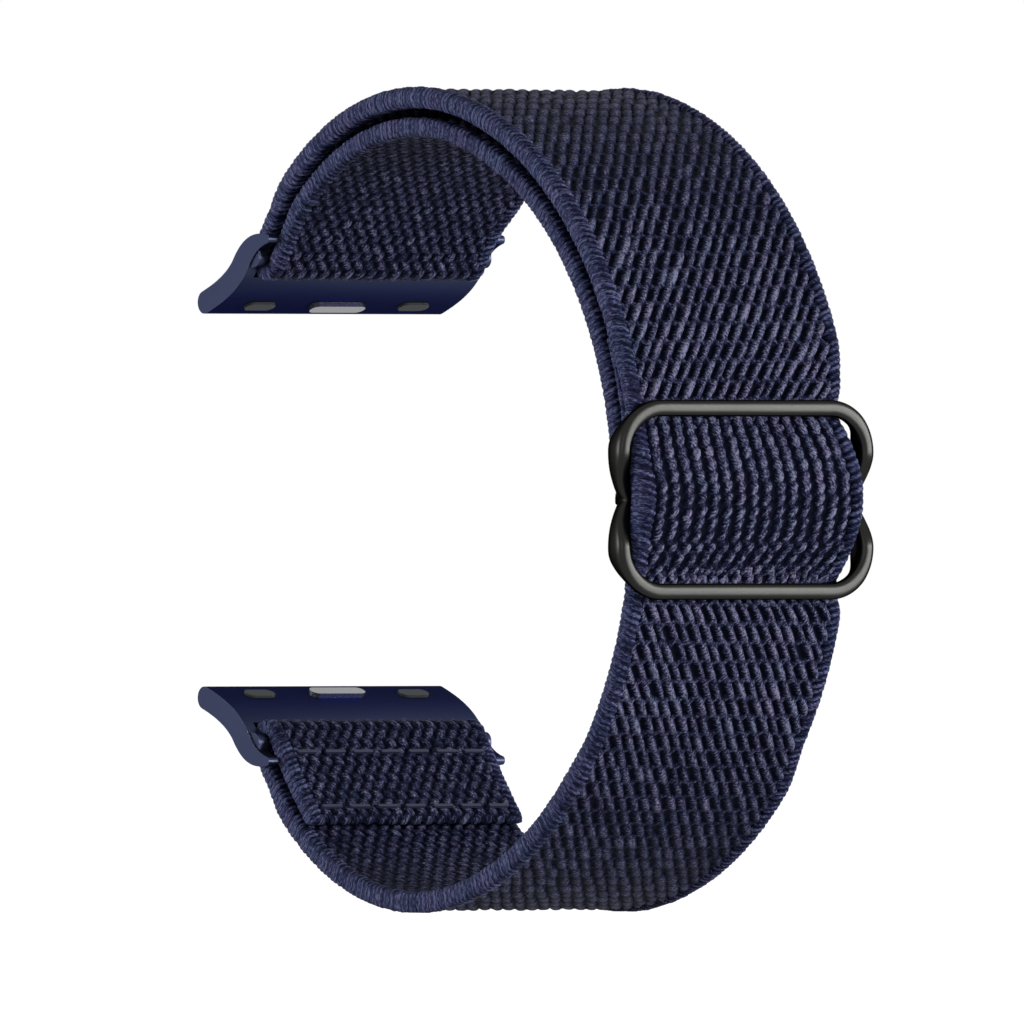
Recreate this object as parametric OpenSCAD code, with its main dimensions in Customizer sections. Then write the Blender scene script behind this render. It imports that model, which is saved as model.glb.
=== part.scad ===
// Elastic nylon watch strap: one woven band, folded round the bars of two lugs and a slide buckle.
// X runs across the band, the buckle is at -Y, the lugs are at +Y, and Z is up.
// The origin is on the axis of the wrist opening, at the middle of the band's width.

/* [Webbing] */
// Width of the woven band
web_w = 23.8; // [18:0.2:26]
// Thickness of the woven band
web_t = 1.6; // [1.2:0.1:1.8]
// Thickness of the band where it is pressed flat round the buckle bar
fold_t = 0.75; // [0.7:0.05:0.9]
// Outer radius of the loop on the buckle side
near_r = 37.8; // [34:0.2:44]
// Outer radius of the loop on the lug side
far_r = 31.1; // [28:0.2:33.6]
// Angle from the buckle at which the loop passes from one radius to the other
handover_angle = 78; // [70:1:84]
// Length of the sewn flap at the lower lug
flap_l = 10.4; // [7:0.2:14]
// Length of one stitch in the flap's seams
stitch_l = 2.2; // [1.5:0.1:3]
// Distance from one stitch to the next
stitch_pitch = 3.1; // [3:0.1:4]
// Thickness of the sewing thread
thread_d = 0.3; // [0.2:0.05:0.4]
// Angle by which the sewn tail still lies along the return layer at the end of the buckle's travel
lap_angle = 3; // [2:0.5:6]

/* [Lugs] */
// Thickness of a lug's cheeks, at either side of the band
cheek_wall = 1.1; // [0.9:0.05:2]
// Side play of the band between a lug's cheeks
cheek_play = 0.2; // [0.1:0.05:0.4]
// Diameter of the bar that the band turns round
strap_bar_d = 1.0; // [0.8:0.1:1.4]
// Height of the lug bars on the loop, as an angle above the horizontal
strap_bar_angle = 33; // [28:1:38]
// Thickness of the tongue that slides into the watch case
tongue_t = 2.1; // [1.9:0.05:2.3]
// Radius of the boss that holds the bar in each cheek
bar_boss_r = 0.9; // [0.85:0.05:1.1]

/* [Lock] */
// Length of the lock catch across the lug
catch_l = 6; // [4:0.2:8]
// Width of the lock catch
catch_w = 1.4; // [1.1:0.1:1.6]
// Travel of the lock catch
catch_travel = 0.45; // [0.3:0.05:0.5]
// Thickness of the lock cover plate
cover_t = 0.35; // [0.25:0.05:0.45]
// Thickness of the lock spring's strip
leaf_t = 0.12; // [0.08:0.01:0.16]
// Length of a friction pad
pad_l = 3.2; // [2:0.2:4]
// Height of a friction pad above the tongue
pad_proud = 0.25; // [0.15:0.05:0.35]

/* [Slide buckle] */
// Thickness of the buckle's sides at the waist, outside the band
waist_wall = 0.6; // [0.5:0.05:1.2]
// Height of the buckle
buckle_h = 18.2; // [15:0.1:24]
// Depth of the buckle
buckle_depth = 2.7; // [2.4:0.1:3.6]
// Width of the buckle's rounded bars
rail_w = 1.5; // [1.3:0.1:1.8]
// Radius that the edges of the bars are rounded to
rail_round = 0.6; // [0.3:0.05:0.65]
// How far each side is drawn in at the waist
waist_pinch = 1.4; // [1:0.05:1.4]
// Radius of the four outer corners
buckle_corner_r = 4.75; // [3.5:0.05:5]
// How far the front of the buckle stands proud of the band at mid-height
buckle_proud = 0.5; // [0.4:0.1:1.2]
// Diameter of the buckle's middle bar
mid_bar_d = 0.9; // [0.8:0.1:1.1]
// Side play of the band in the buckle
buckle_play = 0.1; // [0.05:0.05:0.2]
// Travel of the buckle along the band, as an angle
buckle_travel = 18; // [6:1:24]

/* [Fits] */
// Gap between the band and a bar that it turns round
bar_gap = 0.05; // [0.03:0.01:0.1]
// Gap between layers or parts that slide on each other
slide_gap = 0.1; // [0.06:0.01:0.2]
// Gap between the band and the pocket in a lug
pocket_gap = 0.15; // [0.1:0.01:0.25]
// Gap round a pressed-in piece
press_gap = 0.01; // [0.005:0.005:0.02]

/* [Hidden] */
$fn = 96;
eps = 0.01;
seam_lap = 0.06;
edge_bevel = 0.3;
half_w = web_w / 2;
far_centre = (near_r - far_r) * [cos(180 - handover_angle), sin(180 - handover_angle)];

// The band's two layers are one bar apart, so both run straight onto the bar.
bar_r = strap_bar_d / 2;
layer_gap = strap_bar_d + 2 * bar_gap;
turn_in_r = bar_r + bar_gap;
turn_out_r = turn_in_r + web_t;
return_far_r = far_r - web_t - layer_gap;
return_near_r = near_r - web_t - layer_gap;
bar_orbit_r = far_r - web_t - turn_in_r;
bar_dir = [cos(strap_bar_angle), sin(strap_bar_angle)];
bar_c = far_centre + bar_orbit_r * bar_dir;

// The flap is an arc that leaves the bar beside the band and meets the band at its sewn end.
flap_r = 1 / (1 / return_far_r - 2 * (layer_gap - slide_gap) / pow(flap_l, 2));
flap_centre = bar_c - (turn_in_r + flap_r) * bar_dir;
flap_sweep = flap_l / flap_r * 180 / PI;

// Two rows of stitches cross the flap: one near its end, one near the bar.
stitch_r = flap_r - web_t;
seam_in = 1.2;
seam_rows = [strap_bar_angle + flap_sweep * 0.25, strap_bar_angle + flap_sweep * (1 - seam_in / flap_l)];
stitch_count = floor((web_w - 2 * edge_bevel) / stitch_pitch);

// The sewn tail at the buckle lies between the two layers, and the middle bar sits just inside it.
tail_r = near_r - web_t - slide_gap;
mid_bar_r = mid_bar_d / 2;
mid_turn_in_r = mid_bar_r + bar_gap;
mid_turn_out_r = mid_turn_in_r + fold_t;
mid_bar_y = mid_turn_out_r - tail_r;
inner_leg_r = -mid_bar_y - mid_turn_in_r;
inner_leg_angle = 3;
return_end_angle = inner_leg_angle + 0.25;
tail_angle = return_end_angle + buckle_travel + lap_angle;

// Lug section: a curved plate from the tongue, past the bar, to the horn on each cheek.
cheek_in = half_w + cheek_play;
lug_half = cheek_in + cheek_wall;
lug_l = 2 * lug_half;
tongue_tip = [7.8, -4.1];
tongue_pull = [5.8, -3.4];
neck_pull = [3.3, -2.4];
neck = [2.0, -0.75];
ear_pull = [1.13, 0.35];
horn_pull = [0.1, 1.6];
horn_tip = [-2.4, 1.7];
neck_half_t = 1.2;
horn_half_t = 0.4;
section_steps = 10;
cap_steps = 6;
wall_top = 0.25;
boss_set_in = 0.2;
pocket_r = turn_out_r + pocket_gap;
boss_l = cheek_wall - boss_set_in;
swell_up = 0.75;
swell_down = 0.9;
bar_blind = boss_l * 0.6;

// Lock: sits in the straight part of the tongue, square to its wrist face.
lock_at = 0.3;
lock_wall = 0.5;
lock_play = 0.1;
flange_t = 0.3;
flange_rim = 0.35;
leaf_span = 6.2;
pad_w = 1.4;
pad_sink = 0.5;
pad_at = 8.6;
tongue_half = tongue_t / 2;
catch_half_w = catch_w / 2;
cavity_half_w = catch_half_w + flange_rim + lock_play;
cavity_half_l = catch_l / 2 + 2 * flange_rim + lock_play;
flange_top = tongue_half - lock_wall - 0.03;
cover_top = cover_t - tongue_half;

// Buckle: two rounded lobes that meet at the waist.
window_half = half_w + buckle_play;
waist_half = window_half + waist_wall;
buckle_half = waist_half + waist_pinch;
buckle_w = 2 * buckle_half;
half_h = buckle_h / 2;
buckle_front = -(near_r + buckle_proud);
buckle_back = buckle_front + buckle_depth;
lobe_mid = half_h - buckle_corner_r;
flat_half = buckle_half - buckle_corner_r;
side_r = (pow(lobe_mid, 2) + pow(waist_pinch, 2)) / (2 * waist_pinch);
waist_overrun = 5;
side_sweep = asin(lobe_mid / side_r) + waist_overrun;
mid_boss_r = mid_bar_r + 0.25;
mid_boss_l = 0.45;
mid_blind = mid_boss_l * 0.7;

web_colour = "#1f2440";
metal_colour = "#2a3058";
buckle_colour = "#3b3b39";
steel_colour = "#9a9c9f";
rubber_colour = "#23252b";
thread_colour = "#191d38";

// Turns a drawing in the side view, with Y to the right and Z up, into the part's frame.
module side() rotate([90, 0, 90]) children();

// Mirrors the upper half of the strap to the lower half.
module below() mirror([0, 0, 1]) children();

// A stretch of band on an arc, from angle a0 to a1 in the side view, with bevelled edges.
// Where laps holds a 1, that end runs a little way into its neighbour, and the stretch is a hair thinner.
module arc_band(centre, outer_r, t, a0, a1, laps = [0, 0]) {
    half_t = t / 2 - eps * max(laps);
    lap = seam_lap / outer_r * 180 / PI;
    flat_w = half_w - edge_bevel;
    flat_t = half_t - edge_bevel;
    side() translate([centre.x, centre.y, 0]) rotate(a0 - lap * laps[0])
        rotate_extrude(angle = a1 - a0 + lap * (laps[0] + laps[1])) translate([outer_r - t / 2, 0]) polygon([
            [half_t, -flat_w], [half_t, flat_w], [flat_t, half_w], [-flat_t, half_w],
            [-half_t, flat_w], [-half_t, -flat_w], [-flat_t, -half_w], [flat_t, -half_w]
        ]);
}

module bar_turn(a0, a1) arc_band(bar_c, turn_out_r, web_t, a0, a1);

// Points on a cubic curve.
function bezier(p, u) =
    pow(1 - u, 3) * p[0] + 3 * u * pow(1 - u, 2) * p[1] + 3 * u * u * (1 - u) * p[2] + pow(u, 3) * p[3];
function bezier_dir(p, u) =
    let (d = pow(1 - u, 2) * (p[1] - p[0]) + 2 * u * (1 - u) * (p[2] - p[1]) + u * u * (p[3] - p[2]))
    d / norm(d);

tongue_curve = [tongue_tip, tongue_pull, neck_pull, neck];
horn_curve = [neck, ear_pull, horn_pull, horn_tip];

// Half thickness of the plate along its two curves.
function plate_half(on_horn, u) =
    on_horn ? neck_half_t + (horn_half_t - neck_half_t) * u * u : tongue_half + (neck_half_t - tongue_half) * u * u;
function plate_side(curve, on_horn, u, s) =
    let (d = bezier_dir(curve, u)) bezier(curve, u) + s * plate_half(on_horn, u) * [-d.y, d.x];

function plate_edge(s) = concat(
    [for (i = [0 : section_steps]) plate_side(tongue_curve, false, i / section_steps, s)],
    [for (i = [1 : section_steps]) plate_side(horn_curve, true, i / section_steps, s)]
);
function end_cap(curve, u, half_t, turn) =
    let (d = bezier_dir(curve, u), a = atan2(d.y, d.x))
    [for (i = [1 : cap_steps - 1])
        bezier(curve, u) + half_t * [cos(a + turn - 180 * i / cap_steps), sin(a + turn - 180 * i / cap_steps)]];
function reversed(list) = [for (i = [len(list) - 1 : -1 : 0]) list[i]];

module lug_section() {
    translate(bar_c) polygon(concat(
        plate_edge(1),
        end_cap(horn_curve, 1, horn_half_t, 90),
        reversed(plate_edge(-1)),
        end_cap(tongue_curve, 0, tongue_half, -90)
    ));
}

// Point where a line from p touches a circle of radius r, on the side that s picks.
function touch(p, r, s) = let (a = atan2(p.y, p.x) + s * acos(r / norm(p))) r * [cos(a), sin(a)];

// Thickens a cheek round the bar, with sides that run smoothly into the plate.
module cheek_swell() {
    up = bezier(horn_curve, swell_up);
    down = bezier(tongue_curve, swell_down);
    translate([bar_c.x, bar_c.y, -boss_l / 2]) linear_extrude(boss_l) {
        circle(r = bar_boss_r);
        polygon([up, touch(up, bar_boss_r, 1), touch(down, bar_boss_r, -1), down]);
    }
}

// Places the lock's pieces: X along the tongue's section, Y out of its wrist face, Z across the lug.
lock_dir = bezier_dir(tongue_curve, lock_at);
lock_c = bar_c + bezier(tongue_curve, lock_at);
module lock_frame() {
    side() translate([lock_c.x, lock_c.y, 0]) rotate(atan2(lock_dir.y, lock_dir.x)) children();
}

// A block with round ends across the lug, from height y0 to y1.
module oval_block(l, w, y0, y1) {
    translate([0, y1, 0]) rotate([90, 0, 0]) linear_extrude(y1 - y0) {
        square([w, l - w], center = true);
        for (s = [-1, 1]) translate([0, s * (l - w) / 2]) circle(d = w);
    }
}

module lug() {
    color(metal_colour) difference() {
        union() {
            side() translate([0, 0, -lug_half]) linear_extrude(lug_l) lug_section();
            for (s = [-1, 1]) side() translate([0, 0, s * (cheek_in + boss_l / 2)]) cheek_swell();
        }
        // Pocket for the turn of the band, open above and to the wrist
        side() translate([bar_c.x, bar_c.y, 0]) cylinder(r = pocket_r, h = 2 * cheek_in, center = true);
        translate([-cheek_in, bar_c.x - 2 * pocket_r, bar_c.y + wall_top])
            cube([2 * cheek_in, 4 * pocket_r, 2 * pocket_r]);
        side() translate([bar_c.x, bar_c.y, -cheek_in - bar_blind])
            cylinder(r = bar_r + press_gap, h = 2 * lug_half);
        lock_frame() {
            translate([-cavity_half_w, -tongue_t, -cavity_half_l])
                cube([2 * cavity_half_w, tongue_t + tongue_half - lock_wall, 2 * cavity_half_l]);
            oval_block(catch_l + 2 * lock_play, catch_w + 2 * lock_play, 0, tongue_t);
            for (s = [-1, 1]) translate([0, 0, s * pad_at])
                oval_block(pad_l + 2 * press_gap, pad_w + 2 * press_gap, tongue_half - pad_sink, tongue_t);
        }
    }
}

module strap_bar() {
    color(steel_colour) side() translate([bar_c.x, bar_c.y, eps - cheek_in - bar_blind])
        cylinder(r = bar_r, h = 2 * cheek_in + bar_blind + boss_l - eps);
}

module lock_catch() {
    color(steel_colour) lock_frame() {
        oval_block(catch_l, catch_w, flange_top - eps, tongue_half + catch_travel);
        translate([-catch_half_w - flange_rim, flange_top - flange_t, -catch_l / 2 - 2 * flange_rim])
            cube([catch_w + 2 * flange_rim, flange_t, catch_l + 4 * flange_rim]);
    }
}

// A bowed strip that pushes the catch's flange away from the cover.
module lock_spring() {
    rise = flange_top - flange_t - cover_top - leaf_t - 2 * eps;
    steps = 12;
    bow = [for (i = [0 : steps]) [leaf_span * (i / steps - 0.5), rise * sin(180 * i / steps)]];
    color(steel_colour) lock_frame() translate([catch_half_w, cover_top + eps, 0]) rotate([0, -90, 0])
        linear_extrude(catch_w) polygon(concat(bow, reversed([for (p = bow) p + [0, leaf_t]])));
}

module lock_cover() {
    color(metal_colour) lock_frame()
        translate([press_gap - cavity_half_w, -tongue_half, press_gap - cavity_half_l])
            cube([2 * (cavity_half_w - press_gap), cover_t, 2 * (cavity_half_l - press_gap)]);
}

module lug_pads() {
    color(rubber_colour) lock_frame() for (s = [-1, 1]) translate([0, 0, s * pad_at])
        oval_block(pad_l, pad_w, tongue_half - pad_sink, tongue_half + pad_proud);
}

// The long run: from the lower bar, round the buckle side, to the upper bar.
module outer_run() {
    color(web_colour) {
        arc_band([0, 0], near_r, web_t, 180 - handover_angle, 180 + handover_angle);
        arc_band(far_centre, far_r, web_t, strap_bar_angle, 180 - handover_angle, [0, 1]);
        below() arc_band(far_centre, far_r, web_t, strap_bar_angle, 180 - handover_angle, [0, 1]);
    }
}

// The inner layer: round the upper bar and back down towards the buckle.
module return_layer() {
    color(web_colour) {
        bar_turn(strap_bar_angle - 180, strap_bar_angle);
        arc_band(far_centre, return_far_r, web_t, strap_bar_angle, 180 - handover_angle, [1, 1]);
        arc_band([0, 0], return_near_r, web_t, 180 - handover_angle, 180 - return_end_angle);
    }
}

// The band's other end: round the lower bar and sewn down on the wrist side.
module lower_fold() {
    color(web_colour) below() {
        bar_turn(strap_bar_angle - 180, strap_bar_angle);
        arc_band(flap_centre, flap_r, web_t, strap_bar_angle, strap_bar_angle + flap_sweep, [1, 0]);
    }
}

// One row of stitches across the flap's wrist face, at an angle round the flap's own centre.
module stitch_row(a) {
    side() translate([flap_centre.x, flap_centre.y, 0]) rotate(a)
        for (i = [0 : stitch_count - 1])
            translate([stitch_r, 0, (i - (stitch_count - 1) / 2) * stitch_pitch]) rotate([0, -90, 0])
                linear_extrude(thread_d) {
                    square([stitch_l - thread_d, thread_d], center = true);
                    for (s = [-1, 1]) translate([s * (stitch_l - thread_d) / 2, 0]) circle(d = thread_d);
                }
}

module fold_stitches() {
    color(thread_colour) below() for (a = seam_rows) stitch_row(a);
}

// The return layer's end: round the buckle's middle bar and back up as a sewn tail.
module buckle_turn() {
    color(web_colour) {
        arc_band([mid_bar_y, 0], mid_turn_out_r, fold_t, 180, 360);
        arc_band([0, 0], tail_r, fold_t, 180 - tail_angle, 180, [0, 1]);
        arc_band([0, 0], inner_leg_r, fold_t, 180 - inner_leg_angle, 180, [0, 1]);
    }
}

// Section of the buckle's bars, from the back (0) to the front, centred on the bar's own line.
module rail_section(inset = 0) {
    half_u = rail_w / 2 - inset;
    back = inset;
    front = buckle_depth - inset;
    translate([-half_u, back + rail_round]) square([2 * half_u, front - back - 2 * rail_round]);
    translate([rail_round - half_u, back]) square([2 * (half_u - rail_round), front - back]);
    for (u = [rail_round - half_u, half_u - rail_round], v = [back + rail_round, front - rail_round])
        translate([u, v]) circle(r = rail_round);
}

// The bar of the upper lobe: across the top, round both corners and in to the waist.
module lobe_bar() {
    translate([-flat_half - seam_lap, half_h - rail_w / 2, 0]) rotate([90, 0, 90])
        linear_extrude(2 * (flat_half + seam_lap)) rail_section(eps);
    for (m = [0, 1]) mirror([m, 0, 0]) {
        translate([flat_half, lobe_mid, 0])
            rotate_extrude(angle = 90) translate([buckle_corner_r - rail_w / 2, 0]) rail_section();
        translate([buckle_half - side_r, lobe_mid, 0]) rotate(-side_sweep)
            rotate_extrude(angle = side_sweep + seam_lap / side_r * 180 / PI)
                translate([side_r - rail_w / 2, 0]) rail_section(eps);
    }
}

module lobe() {
    intersection() {
        lobe_bar();
        translate([-buckle_w, 0, -buckle_depth]) cube([2 * buckle_w, buckle_h, 3 * buckle_depth]);
    }
}

module buckle_frame() {
    color(buckle_colour) difference() {
        union() {
            translate([0, buckle_back, 0]) rotate([90, 0, 0]) {
                lobe();
                mirror([0, 1, 0]) lobe();
            }
            // Bosses behind the waist carry the middle bar.
            for (s = [-1, 1]) side() translate([0, 0, s * (window_half + mid_boss_l / 2)]) {
                translate([mid_bar_y, 0, 0]) cylinder(r = mid_boss_r, h = mid_boss_l, center = true);
                translate([buckle_back - rail_round - eps, -mid_boss_r, -mid_boss_l / 2])
                    cube([mid_bar_y - buckle_back + rail_round + eps, 2 * mid_boss_r, mid_boss_l]);
            }
        }
        // Way for the band between the sides, and behind the top and bottom bars
        translate([-window_half, 2 * buckle_front, -lobe_mid])
            cube([2 * window_half, -buckle_front * 1.5, 2 * lobe_mid]);
        side() cylinder(r = near_r + slide_gap, h = 2 * window_half - 2 * eps, center = true);
        side() translate([mid_bar_y, 0, -window_half - mid_blind])
            cylinder(r = mid_bar_r + press_gap, h = 2 * buckle_w);
    }
}

module buckle_bar() {
    color(steel_colour) side() translate([mid_bar_y, 0, eps - window_half - mid_blind])
        cylinder(r = mid_bar_r, h = 2 * window_half + mid_blind + mid_boss_l - eps);
}

outer_run();
return_layer();
lower_fold();
fold_stitches();
buckle_turn();
buckle_frame();
buckle_bar();
lug();  // upper_lug
strap_bar();  // upper_strap_bar
lock_catch();  // upper_lock_catch
lock_spring();  // upper_lock_spring
lock_cover();  // upper_lock_cover
lug_pads();  // upper_lug_pads
below() lug();  // lower_lug
below() strap_bar();  // lower_strap_bar
below() lock_catch();  // lower_lock_catch
below() lock_spring();  // lower_lock_spring
below() lock_cover();  // lower_lock_cover
below() lug_pads();  // lower_lug_pads
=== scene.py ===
# Elastic nylon watch strap with a slide buckle and two sprung lugs.
# Shapes are worked out in millimetres in the side view, with Y to the right and Z up; meshes are in metres.
import bpy
import bmesh
import math
import numpy as np
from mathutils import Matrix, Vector


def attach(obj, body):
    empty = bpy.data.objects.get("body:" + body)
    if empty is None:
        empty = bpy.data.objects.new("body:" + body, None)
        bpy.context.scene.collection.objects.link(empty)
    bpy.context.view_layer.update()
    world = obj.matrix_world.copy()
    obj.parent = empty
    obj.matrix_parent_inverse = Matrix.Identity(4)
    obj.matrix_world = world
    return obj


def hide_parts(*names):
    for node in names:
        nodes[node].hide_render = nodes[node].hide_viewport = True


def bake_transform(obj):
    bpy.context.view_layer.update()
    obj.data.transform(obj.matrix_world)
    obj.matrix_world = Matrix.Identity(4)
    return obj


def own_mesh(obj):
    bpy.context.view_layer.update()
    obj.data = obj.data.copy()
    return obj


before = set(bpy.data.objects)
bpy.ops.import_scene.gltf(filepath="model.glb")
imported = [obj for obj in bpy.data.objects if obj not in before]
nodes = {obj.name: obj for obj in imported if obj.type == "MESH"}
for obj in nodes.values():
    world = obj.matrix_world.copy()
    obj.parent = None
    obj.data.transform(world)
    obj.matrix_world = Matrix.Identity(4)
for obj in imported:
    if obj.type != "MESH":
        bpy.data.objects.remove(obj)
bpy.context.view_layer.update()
mm = 0.001
scene = bpy.context.scene
chance = np.random.default_rng(11)
print("frame loaded:", len(nodes), "nodes")

# Main sizes of the strap in millimetres and degrees; apart from the free width they are the CAD's
strap = {
    "halfWidth": 12.3,      # half the width of the woven band where it lies free
    "heldWidth": 11.9,      # the same in the lugs and along the buckle's path
    "halfThick": 0.8,       # half its thickness
    "nearRadius": 37.8,     # outside of the loop on the buckle side
    "farRadius": 31.1,      # outside of the loop on the lug side
    "handover": 78.0,       # where the two radii meet, as an angle from the buckle
    "barAngle": 33.0,       # height of the lug bars on the loop
    "barSeat": 0.55,        # from the middle of a lug bar to the band on it
    "barTurn": 1.35,        # from there to the middle of the band
    "layerGap": 1.1,        # between the outer run and the return layer
    "flapLength": 10.4,
    "slideGap": 0.1,
}


def polar(centre, radius, angle):
    a = math.radians(angle)
    return np.array([centre[0] + radius * math.cos(a), centre[1] + radius * math.sin(a)])


def eased(share):
    return share * share * (3 - 2 * share)


farCentre = polar((0, 0), strap["nearRadius"] - strap["farRadius"], 180 - strap["handover"])
barDir = polar((0, 0), 1, strap["barAngle"])
barCentre = farCentre + (strap["farRadius"] - 2 * strap["halfThick"] - strap["barSeat"]) * barDir
middleOuterNear = strap["nearRadius"] - strap["halfThick"]
middleOuterFar = strap["farRadius"] - strap["halfThick"]
middleReturnNear = middleOuterNear - 2 * strap["halfThick"] - strap["layerGap"]
middleReturnFar = middleOuterFar - 2 * strap["halfThick"] - strap["layerGap"]


# Helpers: a route is the band's middle line in the side view, with the way that its first face looks

def routeOf(arcs, step):
    points, looks, lengths, length = [], [], [], 0.0
    for k, (centre, radius, a0, a1) in enumerate(arcs):
        arcLength = abs(math.radians(a1 - a0)) * radius
        count = max(2, round(arcLength / step))
        turn = 1 if a1 > a0 else -1
        for i in range(0 if k == 0 else 1, count + 1):
            a = a0 + (a1 - a0) * i / count
            points.append(polar(centre, radius, a))
            looks.append(-turn * polar((0, 0), 1, a))
            lengths.append(length + arcLength * i / count)
        length += arcLength
    return np.array(points), np.array(looks), np.array(lengths)


def mirrored(arcs):
    return [((c[0], -c[1]), r, -a0, -a1) for c, r, a0, a1 in arcs]


def turnedRound(arcs):
    return [(c, r, a1, a0) for c, r, a0, a1 in reversed(arcs)]


def linked(name, mesh):
    piece = bpy.data.objects.new(name, mesh)
    scene.collection.objects.link(piece)
    return piece


class MeshStore:
    # Collects closed shells and writes them as one mesh
    def __init__(self):
        self.points, self.loops, self.sizes, self.slots, self.weave = [], [], [], [], []
        self.count = 0

    def shell(self, grid, marks, slot, strips=False):
        # grid is rows along the piece by places round its section; strips closes a wide flat end with quads
        rows, around = grid.shape[:2]
        at = np.arange(rows * around).reshape(rows, around) + self.count
        right = np.roll(at, -1, axis=1)
        quads = np.stack([at[:-1], right[:-1], right[1:], at[1:]], -1).reshape(-1, 4)
        if strips:
            half = around // 2
            near, far = np.arange(half), around - 1 - np.arange(half)
            for row, flip in ((0, True), (rows - 1, False)):
                end = at[row]
                cap = np.stack([end[near[:-1]], end[near[1:]], end[far[1:]], end[far[:-1]]], -1)
                quads = np.concatenate([quads, cap[:, ::-1] if flip else cap])
        self.loops.append(quads.ravel())
        self.sizes.append(np.full(len(quads), 4))
        self.slots.append(np.full(len(quads), slot))
        if not strips:
            for row, flip in ((0, True), (rows - 1, False)):
                self.loops.append(at[row][::-1] if flip else at[row])
                self.sizes.append(np.array([around]))
                self.slots.append(np.array([slot]))
        self.points.append(grid.reshape(-1, 3))
        self.weave.append(marks.reshape(-1, 3))
        self.count += rows * around

    def made(self, name, materials):
        points = np.concatenate(self.points) * mm
        loops = np.concatenate(self.loops).astype(np.int32)
        sizes = np.concatenate(self.sizes)
        starts = np.concatenate([[0], np.cumsum(sizes)[:-1]]).astype(np.int32)
        mesh = bpy.data.meshes.new(name)
        mesh.vertices.add(len(points))
        mesh.vertices.foreach_set("co", points.astype(np.float32).ravel())
        mesh.loops.add(len(loops))
        mesh.loops.foreach_set("vertex_index", loops)
        mesh.polygons.add(len(sizes))
        mesh.polygons.foreach_set("loop_start", starts)
        mesh.polygons.foreach_set("material_index", np.concatenate(self.slots).astype(np.int32))
        mesh.polygons.foreach_set("use_smooth", np.ones(len(sizes), bool))
        mesh.update(calc_edges=True)
        marks = mesh.attributes.new("weave", "FLOAT_VECTOR", "POINT")
        marks.data.foreach_set("vector", np.concatenate(self.weave).astype(np.float32).ravel())
        mesh.validate()
        for material in materials:
            mesh.materials.append(material)
        return linked(name, mesh)


# Weave: sizes in millimetres, measured on the photographed band. Pitch is across the band and row along it;
# strays and slips are how far a strand lies out of place across and along, each with its channel of unevenness

weave = {
    "depth": 0.55,          # from the top of a strand to the floor between strands
    "acrossSteps": 8,
    "alongStep": 0.2,
    "edgeInset": 0.95,      # from the band's edge to the woven faces
    "turnLength": 6,        # the lean of the strands swings over in this length, on each side of the buckle
    "sideCurve": 2.4,       # how square a strand's section and ends are
    "endCurve": 2.6,
    "flatter": {"by": 0.2, "beyond": 22, "over": 9},        # where the band bends over the loop's ends
    # painted shade: the outer face's marks darken by this share over the loop's top and bottom, which get little
    # light from above
    "closed": {"by": 0.24, "beyond": 18, "over": 14},
    "wristDepth": 0.7,      # share of the depth that the wrist face has, worn flat on the arm
    # painted shade: the strand marks on the brick-woven wrist faces are darkened to this share, as they lie inside
    # the loop, in shade
    "wristPaintedShade": 0.78,
    "coverOver": 0.35,      # the faces sink towards the cords over this width, to this share
    "coverLeast": 0.25,
    "endReach": 0.7,        # length of a rounded cut end, and how much of its thickness goes
    "endThins": 0.92,
}
rib = {
    "pitch": 1.33, "row": 1.85, "lean": 0.66, "halfWide": 0.50, "halfLong": 1.26,
    "strays": (0.06, 0), "slips": (0.09, 2), "wideVaries": 0.10, "highVaries": 0.07,
    "plainFrom": 32, "plainOver": 14, "plainWider": 0.12, "knot": 0.7, "knotFades": 0.5,
}
brick = {
    "pitch": 1.37, "row": 1.0, "lean": 0.6, "halfWide": 0.58, "halfLong": 0.64,
    "strays": (0.03, 0), "slips": (0.04, 2), "highVaries": 0.10, "oddLean": -0.35,
}
window = {
    "pitch": 1.46, "row": 1.04, "lean": 0.5, "halfWide": 0.45, "halfLong": 0.60,
    "strays": (0.06, 0), "slips": (0.07, 2), "highVaries": 0.09, "knot": 0.62, "knotLean": 0.3,
    "lowFrom": 2, "lowOver": 3, "lowShorter": 0.06,
    "upFrom": 0.5, "upOver": 3.5, "upWider": 0.13, "upLonger": 0.12, "upStraighter": 0.25,
}
knot = {"halfWide": 0.42, "halfLong": 0.40, "strays": (0.07, 1), "slips": (0.08, 0)}
selvage = {
    "stitchPitch": 0.62,    # one crosswise thread to the next, three to a row of strands
    "halfWidth": 0.78,
    "inset": 0.75,          # middle of the edge cord, from the band's edge
    "depth": 0.17,          # between stitches at the cord's border
    "sideDepth": 0.35,      # share of that on the cord's side, which is nearly smooth
    "sideReach": 0.5,       # angles round the cord at which it grows to all
    "sideOver": 0.8,
    "lean": 0.45,           # herringbone lean of the threads round the cord
    "slips": 0.10,
    "swells": 0.16,
    "fullest": 1.2,
    "threadCurve": 0.8,
    "sectionCurve": 3.2,
    "fibreTurn": 0.8,       # length of fibre pattern to a radian round the cord
    "proud": 0.2,           # how far the cord stands above the band where nothing presses it
    "proudHeld": 0.05,
    "proudReturn": 0.1,
    "alongStep": 0.1,
    "around": 14,
}
# Where the lugs and the buckle hold the band: distances from a lug bar, heights that the buckle passes, its grip
hold = {
    "barFrom": 3.2, "barOver": 4.5, "low": -21.5, "high": 9.7, "travelOver": 5,
    "gather": 0.55, "gatherAt": 7.7, "gatherOver": 1.6, "aside": 0.24,
}
unevenness = chance.normal(0, 1, (256, 64, 3))


def uneven(row, column, channel):
    rows, columns = unevenness.shape[:2]
    return unevenness[row.astype(int) % rows, column.astype(int) % columns, channel]


def outOfPlace(row, column, sizes):
    return (size * uneven(row, column, channel) for size, channel in (sizes["strays"], sizes["slips"]))


def ramped(value, zone):
    return np.clip((value - zone["beyond"]) / zone["over"], 0, 1)


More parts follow.
